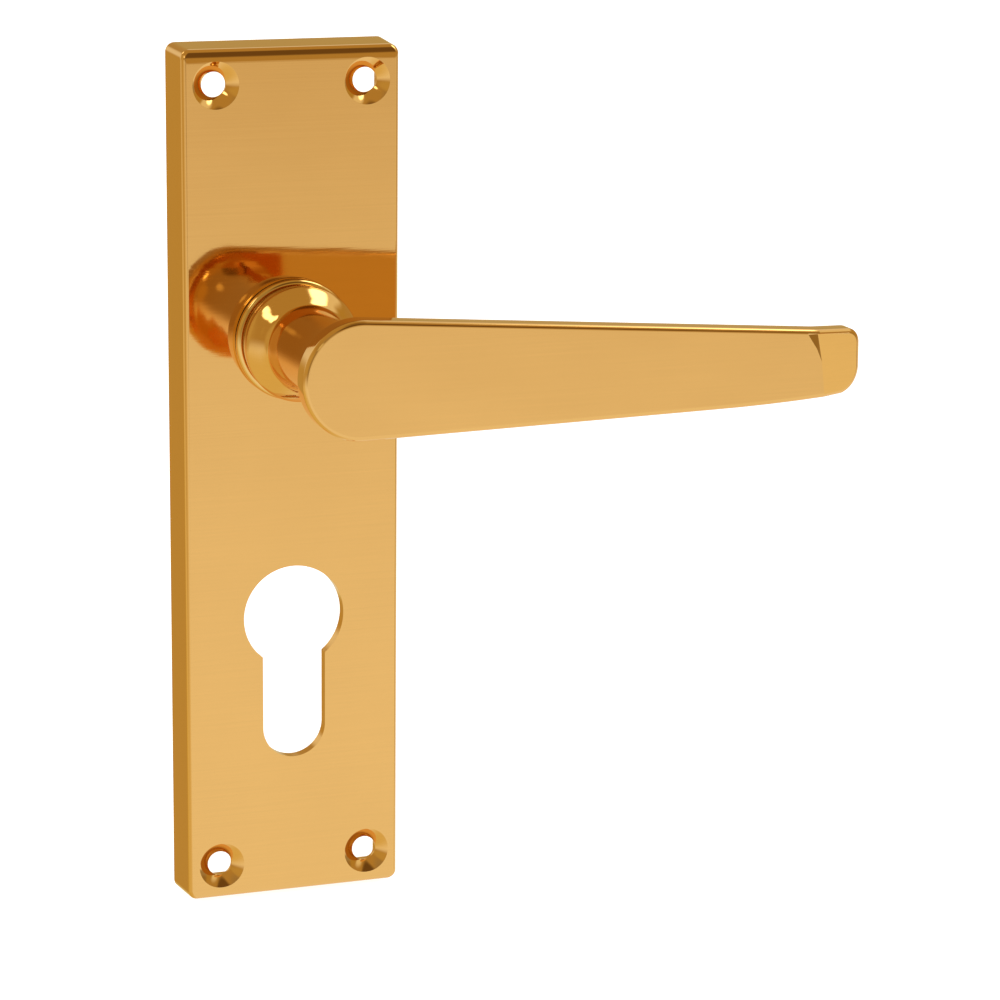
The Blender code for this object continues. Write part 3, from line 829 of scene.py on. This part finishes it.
def room():
    """Soft surroundings, built up from broad patches of light and shade."""
    world = bpy.data.worlds.new("soft_room")
    bpy.context.scene.world = world
    world.use_nodes = True
    tree = world.node_tree
    where = tree.nodes.new("ShaderNodeTexCoord").outputs["Generated"]

    def blend(factor, below, above):
        made = tree.nodes.new("ShaderNodeMix")
        made.data_type = "RGBA"
        tree.links.new(factor, made.inputs["Factor"])
        if isinstance(below, tuple):
            made.inputs["A"].default_value = (*below, 1.0)
        else:
            tree.links.new(below, made.inputs["A"])
        made.inputs["B"].default_value = (*above, 1.0)
        return made.outputs["Result"]

    def ramp(direction, start, stop):
        dot = tree.nodes.new("ShaderNodeVectorMath")
        dot.operation = "DOT_PRODUCT"
        tree.links.new(where, dot.inputs[0])
        dot.inputs[1].default_value = direction
        made = tree.nodes.new("ShaderNodeMapRange")
        made.interpolation_type = "SMOOTHSTEP"
        made.inputs["From Min"].default_value = start
        made.inputs["From Max"].default_value = stop
        tree.links.new(dot.outputs["Value"], made.inputs["Value"])
        return made.outputs["Result"]

    colour = blend(ramp((0.0, 0.0, -1.0), -0.10, 0.30), ROOM_HIGH, ROOM_LOW)
    for azimuth, elevation, inner, outer, tone in ROOM_PATCHES:
        edge = (math.cos(math.radians(outer)), math.cos(math.radians(inner)))
        colour = blend(ramp(towards(azimuth, elevation), *edge), colour, tone)
    tree.links.new(colour, tree.nodes["Background"].inputs["Color"])


def plain(name, colour, glow):
    mat = bpy.data.materials.new(name)
    mat.use_nodes = True
    shader = mat.node_tree.nodes["Principled BSDF"]
    shader.inputs["Base Color"].default_value = (*colour, 1.0)
    shader.inputs["Roughness"].default_value = 0.9
    shader.inputs["Specular IOR Level"].default_value = 0.0
    shader.inputs["Emission Color"].default_value = (1.0, 1.0, 1.0, 1.0)
    shader.inputs["Emission Strength"].default_value = glow
    return mat


def sweep():
    """Pale floor that curves up into a round wall far behind."""
    reach = 3.0
    cove = 1.0
    wall = 3.0
    profile = [(0.0, FLOOR_Z), (0.6, FLOOR_Z), (reach - cove, FLOOR_Z)]
    profile += arc((reach - cove, FLOOR_Z + cove), (cove, cove), -84.0, 0.0, 14)
    profile.append((reach, FLOOR_Z + wall))
    floor = lathe("pale_sweep", profile, 96)
    floor.data.shade_smooth()
    floor.data.materials.append(plain("pale_paper", (0.50, 0.50, 0.50), 0.86))
    floor.visible_glossy = False


def studio():
    sweep()
    room()


def camera():
    """Camera at the photograph's viewing angle."""
    cam = bpy.data.cameras.new("camera")
    cam.sensor_width = 36.0
    cam.lens = CAMERA_LENS
    cam.clip_start = 0.02
    obj = bpy.data.objects.new("camera", cam)
    bpy.context.scene.collection.objects.link(obj)
    yaw = Matrix.Rotation(-CAMERA_YAW, 4, "Z")
    pitch = Matrix.Rotation(math.pi / 2 - CAMERA_PITCH, 4, "X")
    roll = Matrix.Rotation(-CAMERA_ROLL, 4, "Z")
    obj.matrix_world = Matrix.Translation(CAMERA_AT) @ yaw @ pitch @ roll
    bpy.context.scene.camera = obj


def build():
    along = (45.0, 700.0, 5200.0)
    around = (500.0, 3500.0, 500.0)
    even = (2500.0, 2500.0, 2500.0)
    plate_brass = polished_brass("brass_plate_face", along, BRASS)
    grip_brass = polished_brass("brass_grip", along, BRASS, (50.0, 90.0, 90.0))
    turned_brass = polished_brass("brass_turned", around, BRASS_TURNED, (40.0, 40.0, 40.0), 0.04)
    sunk_brass = polished_brass("brass_countersink", (700.0, 2500.0, 700.0), BRASS, dull=0.12)
    satin_brass = polished_brass("brass_grip_back", along, BRASS, dull=0.10)
    raw = cast_brass("brass_as_cast")
    rolled = (300.0, 300.0, 3500.0)
    drawn = (2500.0, 900.0, 900.0)
    plated = steel("zinc_plated_steel", (0.52, 0.53, 0.50), (0.74, 0.73, 0.66), 0.32, rolled)
    sprung = steel("oiled_spring_steel", (0.20, 0.20, 0.21), (0.36, 0.36, 0.37), 0.30, drawn)
    screws = steel("zinc_plated_screws", (0.55, 0.54, 0.46), (0.76, 0.73, 0.60), 0.28, even)
    backplate(plate_brass, sunk_brass, raw)
    lever(grip_brass, turned_brass, raw, satin_brass)
    collar(turned_brass)
    bush(bronze("sintered_bronze"))
    cover(plated)
    for number, at in enumerate(four(POST_X, POST_Y)):
        screw(number + 1, at, screws)
    coil("lower", -1, sprung)
    coil("upper", 1, sprung)
    for node in ("thrust_washer", "cam_plate", "stop_pin_rest", "stop_pin_travel"):
        repaint(node, plated)
    for node in ("wave_washer", "circlip"):
        repaint(node, sprung)


build()
studio()
camera()
bpy.context.scene.view_settings.view_transform = "Standard"
